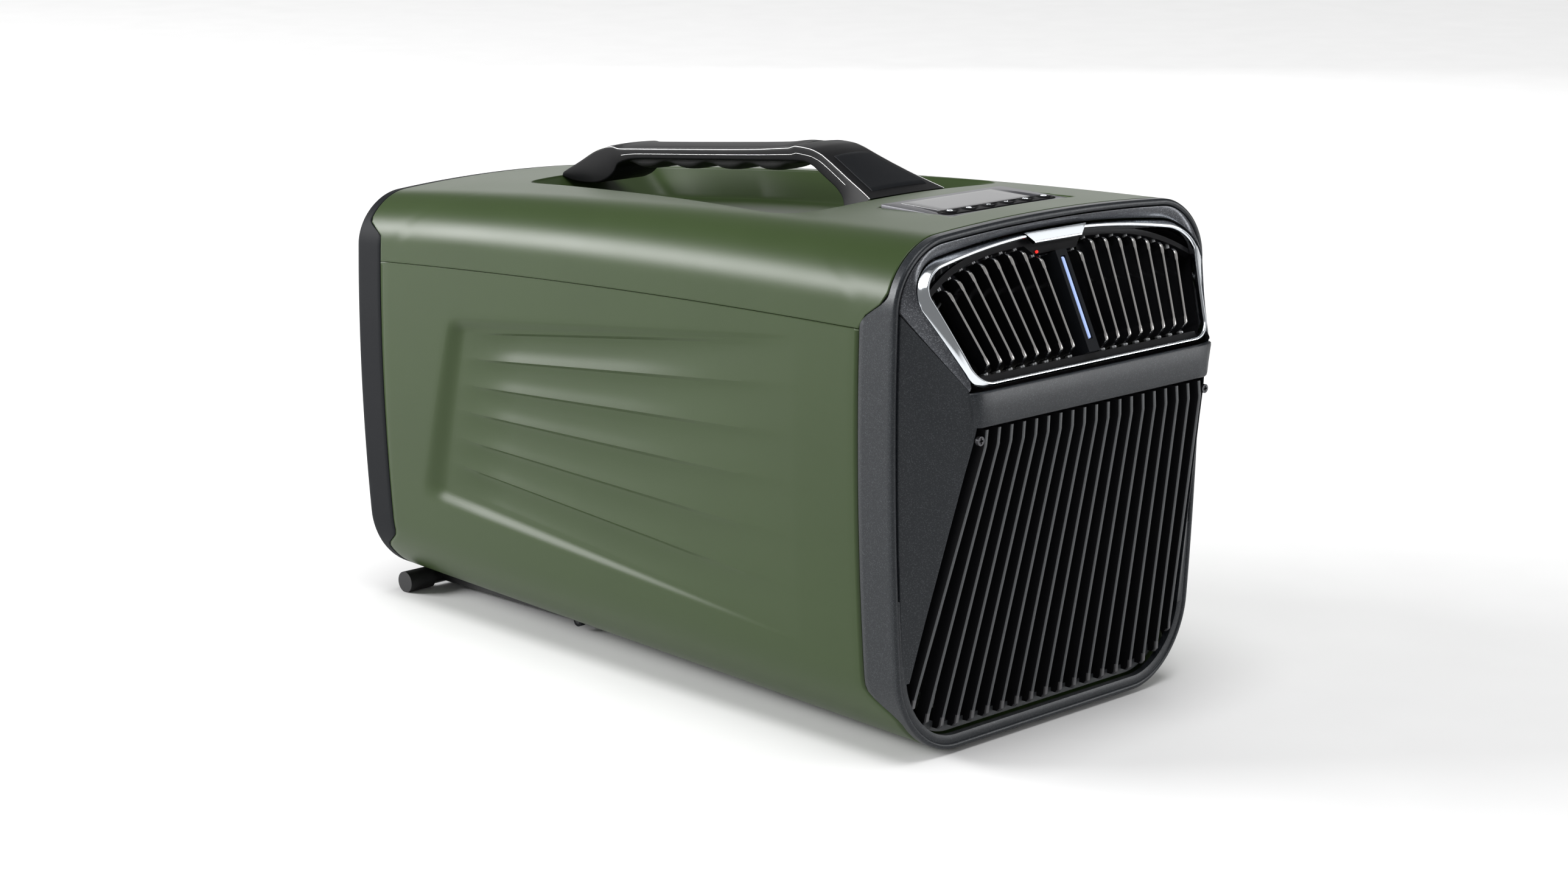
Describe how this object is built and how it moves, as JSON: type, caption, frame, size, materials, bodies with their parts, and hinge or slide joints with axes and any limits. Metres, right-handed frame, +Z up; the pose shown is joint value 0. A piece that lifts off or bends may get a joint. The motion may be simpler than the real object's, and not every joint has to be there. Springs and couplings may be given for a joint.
{
  "type": "portable air conditioner",
  "caption": "Carry-size portable air conditioner: tapered tunnel casing, louvred outlet over a slatted exhaust grille, top handle and fold-out stand.",
  "frame": {"origin": "middle of the footprint, on the floor the feet stand on", "axes": "+Z up, front with the louvred outlet faces -Y, +X to the right of someone facing the outlet"},
  "size_m": [0.264, 0.52, 0.3159],
  "materials": {
    "olive_casing": "satin",
    "gunmetal_ring": "fine sparkle",
    "charcoal_plastic": "matte",
    "black_plastic": "fine grain",
    "band_grey": "satin metallic",
    "chrome_trim": "bright",
    "vane_grey": "satin",
    "light_bar": "lit",
    "display_black": "gloss",
    "rubber_grip": "matte",
    "steel_fastener": "plain",
    "stand_tube": "satin",
    "galvanised_pan": "dull",
    "foam_board": "plain",
    "fin_aluminium": "fine fins",
    "copper_pipe": "bright",
    "compressor_black": "gloss",
    "motor_steel": "plain",
    "circuit_green": "lacquer",
    "filter_mesh": "fine mesh",
    "bright_rod": "bright"
  },
  "bodies": {
    "casing": {"top_shell": "olive_casing", "lower_shell": "olive_casing", "front_ring": "gunmetal_ring", "rear_ring": "charcoal_plastic", "nose_frame": "gunmetal_ring", "outlet_frame": "band_grey", "chrome_trim": "chrome_trim", "outlet_duct": "black_plastic", "centre_post": "black_plastic", "light_strip": "light_bar", "lower_grille": "black_plastic", "rear_grille": "charcoal_plastic", "intake_filter": "filter_mesh", "power_inlet": "black_plastic", "handle_frame": "black_plastic", "handle_grip": "rubber_grip", "screws": "steel_fastener", "display_lens": "display_black", "button_bezel": "black_plastic", "front_feet": "rubber_grip", "stand_brackets": "charcoal_plastic", "base_pan": "galvanised_pan", "divider": "foam_board", "compressor": "compressor_black", "compressor_mounts": "rubber_grip", "condenser_coil": "fin_aluminium", "fan_shroud": "black_plastic", "fan_motors": "motor_steel", "evaporator_coil": "fin_aluminium", "blower_housing": "charcoal_plastic", "refrigerant_pipes": "copper_pipe", "control_board": "circuit_green"},
    "prop_stand": {"prop_stand": "stand_tube", "stand_feet": "rubber_grip"},
    "condenser_fan": {"condenser_fan": "charcoal_plastic"},
    "blower_wheel": {"blower_wheel": "charcoal_plastic"},
    "left_link_rod": {"left_link_rod": "bright_rod"},
    "right_link_rod": {"right_link_rod": "bright_rod"},
    "left_vane_1": {"left_vane_1": "vane_grey"},
    "left_vane_2": {"left_vane_2": "vane_grey"},
    "left_vane_3": {"left_vane_3": "vane_grey"},
    "left_vane_4": {"left_vane_4": "vane_grey"},
    "left_vane_5": {"left_vane_5": "vane_grey"},
    "left_vane_6": {"left_vane_6": "vane_grey"},
    "left_vane_7": {"left_vane_7": "vane_grey"},
    "left_vane_8": {"left_vane_8": "vane_grey"},
    "right_vane_1": {"right_vane_1": "vane_grey"},
    "right_vane_2": {"right_vane_2": "vane_grey"},
    "right_vane_3": {"right_vane_3": "vane_grey"},
    "right_vane_4": {"right_vane_4": "vane_grey"},
    "right_vane_5": {"right_vane_5": "vane_grey"},
    "right_vane_6": {"right_vane_6": "vane_grey"},
    "right_vane_7": {"right_vane_7": "vane_grey"},
    "right_vane_8": {"right_vane_8": "vane_grey"},
    "button_1": {"button_1": "charcoal_plastic"},
    "button_2": {"button_2": "charcoal_plastic"},
    "button_3": {"button_3": "charcoal_plastic"},
    "button_4": {"button_4": "charcoal_plastic"},
    "button_5": {"button_5": "charcoal_plastic"},
    "button_6": {"button_6": "charcoal_plastic"}
  },
  "joints": [
    {"name": "left_vane_1_turn", "type": "hinge", "parent": "casing", "child": "left_vane_1", "pos_m": [-0.0141, -0.24919, 0.21912], "axis": [-0.0465, 0.4379, 0.8978], "range_deg": [-25, 25]},
    {"name": "left_vane_2_turn", "type": "hinge", "parent": "casing", "child": "left_vane_2", "pos_m": [-0.024, -0.24919, 0.21912], "axis": [-0.079, 0.437, 0.896], "range_deg": [-25, 25]},
    {"name": "left_vane_3_turn", "type": "hinge", "parent": "casing", "child": "left_vane_3", "pos_m": [-0.0339, -0.24919, 0.21912], "axis": [-0.1112, 0.4357, 0.8932], "range_deg": [-25, 25]},
    {"name": "left_vane_4_turn", "type": "hinge", "parent": "casing", "child": "left_vane_4", "pos_m": [-0.0438, -0.24919, 0.21912], "axis": [-0.1431, 0.4339, 0.8895], "range_deg": [-25, 25]},
    {"name": "left_vane_5_turn", "type": "hinge", "parent": "casing", "child": "left_vane_5", "pos_m": [-0.0537, -0.24919, 0.21912], "axis": [-0.1745, 0.4316, 0.885], "range_deg": [-25, 25]},
    {"name": "left_vane_6_turn", "type": "hinge", "parent": "casing", "child": "left_vane_6", "pos_m": [-0.0636, -0.24919, 0.21912], "axis": [-0.2054, 0.429, 0.8796], "range_deg": [-25, 25]},
    {"name": "left_vane_7_turn", "type": "hinge", "parent": "casing", "child": "left_vane_7", "pos_m": [-0.0735, -0.24919, 0.21912], "axis": [-0.2357, 0.426, 0.8735], "range_deg": [-25, 25]},
    {"name": "left_vane_8_turn", "type": "hinge", "parent": "casing", "child": "left_vane_8", "pos_m": [-0.0834, -0.24919, 0.21912], "axis": [-0.2654, 0.4227, 0.8666], "range_deg": [-25, 25]},
    {"name": "right_vane_1_turn", "type": "hinge", "parent": "casing", "child": "right_vane_1", "pos_m": [0.0141, -0.24919, 0.21912], "axis": [0.0465, 0.4379, 0.8978], "range_deg": [-25, 25]},
    {"name": "right_vane_2_turn", "type": "hinge", "parent": "casing", "child": "right_vane_2", "pos_m": [0.024, -0.24919, 0.21912], "axis": [0.079, 0.437, 0.896], "range_deg": [-25, 25]},
    {"name": "right_vane_3_turn", "type": "hinge", "parent": "casing", "child": "right_vane_3", "pos_m": [0.0339, -0.24919, 0.21912], "axis": [0.1112, 0.4357, 0.8932], "range_deg": [-25, 25]},
    {"name": "right_vane_4_turn", "type": "hinge", "parent": "casing", "child": "right_vane_4", "pos_m": [0.0438, -0.24919, 0.21912], "axis": [0.1431, 0.4339, 0.8895], "range_deg": [-25, 25]},
    {"name": "right_vane_5_turn", "type": "hinge", "parent": "casing", "child": "right_vane_5", "pos_m": [0.0537, -0.24919, 0.21912], "axis": [0.1745, 0.4316, 0.885], "range_deg": [-25, 25]},
    {"name": "right_vane_6_turn", "type": "hinge", "parent": "casing", "child": "right_vane_6", "pos_m": [0.0636, -0.24919, 0.21912], "axis": [0.2054, 0.429, 0.8796], "range_deg": [-25, 25]},
    {"name": "right_vane_7_turn", "type": "hinge", "parent": "casing", "child": "right_vane_7", "pos_m": [0.0735, -0.24919, 0.21912], "axis": [0.2357, 0.426, 0.8735], "range_deg": [-25, 25]},
    {"name": "right_vane_8_turn", "type": "hinge", "parent": "casing", "child": "right_vane_8", "pos_m": [0.0834, -0.24919, 0.21912], "axis": [0.2654, 0.4227, 0.8666], "range_deg": [-25, 25]},
    {"name": "left_link_rod_slide", "type": "slide", "parent": "casing", "child": "left_link_rod", "axis": [1, 0, 0], "range_m": [-0.00362, 0.00362]},
    {"name": "right_link_rod_slide", "type": "slide", "parent": "casing", "child": "right_link_rod", "axis": [1, 0, 0], "range_m": [-0.00362, 0.00362]},
    {"name": "button_1_press", "type": "slide", "parent": "casing", "child": "button_1", "axis": [0, 0.0262, -0.9997], "range_m": [0, 0.0008], "stiffness_N_per_m": 600, "springref_m": -0.0012},
    {"name": "button_2_press", "type": "slide", "parent": "casing", "child": "button_2", "axis": [0, 0.0262, -0.9997], "range_m": [0, 0.0008], "stiffness_N_per_m": 600, "springref_m": -0.0012},
    {"name": "button_3_press", "type": "slide", "parent": "casing", "child": "button_3", "axis": [0, 0.0262, -0.9997], "range_m": [0, 0.0008], "stiffness_N_per_m": 600, "springref_m": -0.0012},
    {"name": "button_4_press", "type": "slide", "parent": "casing", "child": "button_4", "axis": [0, 0.0262, -0.9997], "range_m": [0, 0.0008], "stiffness_N_per_m": 600, "springref_m": -0.0012},
    {"name": "button_5_press", "type": "slide", "parent": "casing", "child": "button_5", "axis": [0, 0.0262, -0.9997], "range_m": [0, 0.0008], "stiffness_N_per_m": 600, "springref_m": -0.0012},
    {"name": "button_6_press", "type": "slide", "parent": "casing", "child": "button_6", "axis": [0, 0.0262, -0.9997], "range_m": [0, 0.0008], "stiffness_N_per_m": 600, "springref_m": -0.0012},
    {"name": "condenser_fan_spin", "type": "hinge", "parent": "casing", "child": "condenser_fan", "pos_m": [0, -0.181, 0.1005], "axis": [0, 1, 0], "continuous": true},
    {"name": "blower_wheel_spin", "type": "hinge", "parent": "casing", "child": "blower_wheel", "pos_m": [0, -0.118, 0.2245], "axis": [0, 1, 0], "continuous": true},
    {"name": "prop_stand_fold", "type": "hinge", "parent": "casing", "child": "prop_stand", "pos_m": [0, 0.1, 0.0066], "axis": [-1, 0, 0], "range_deg": [0, 70]}
  ],
  "couplings": [
    {"joint": "left_vane_1_turn", "follows": "left_link_rod_slide", "rad_per_m": -120.48},
    {"joint": "left_vane_2_turn", "follows": "left_link_rod_slide", "rad_per_m": -120.48},
    {"joint": "left_vane_3_turn", "follows": "left_link_rod_slide", "rad_per_m": -120.48},
    {"joint": "left_vane_4_turn", "follows": "left_link_rod_slide", "rad_per_m": -120.48},
    {"joint": "left_vane_5_turn", "follows": "left_link_rod_slide", "rad_per_m": -120.48},
    {"joint": "left_vane_6_turn", "follows": "left_link_rod_slide", "rad_per_m": -120.48},
    {"joint": "left_vane_7_turn", "follows": "left_link_rod_slide", "rad_per_m": -120.48},
    {"joint": "left_vane_8_turn", "follows": "left_link_rod_slide", "rad_per_m": -120.48},
    {"joint": "right_vane_1_turn", "follows": "right_link_rod_slide", "rad_per_m": -120.48},
    {"joint": "right_vane_2_turn", "follows": "right_link_rod_slide", "rad_per_m": -120.48},
    {"joint": "right_vane_3_turn", "follows": "right_link_rod_slide", "rad_per_m": -120.48},
    {"joint": "right_vane_4_turn", "follows": "right_link_rod_slide", "rad_per_m": -120.48},
    {"joint": "right_vane_5_turn", "follows": "right_link_rod_slide", "rad_per_m": -120.48},
    {"joint": "right_vane_6_turn", "follows": "right_link_rod_slide", "rad_per_m": -120.48},
    {"joint": "right_vane_7_turn", "follows": "right_link_rod_slide", "rad_per_m": -120.48},
    {"joint": "right_vane_8_turn", "follows": "right_link_rod_slide", "rad_per_m": -120.48}
  ]
}
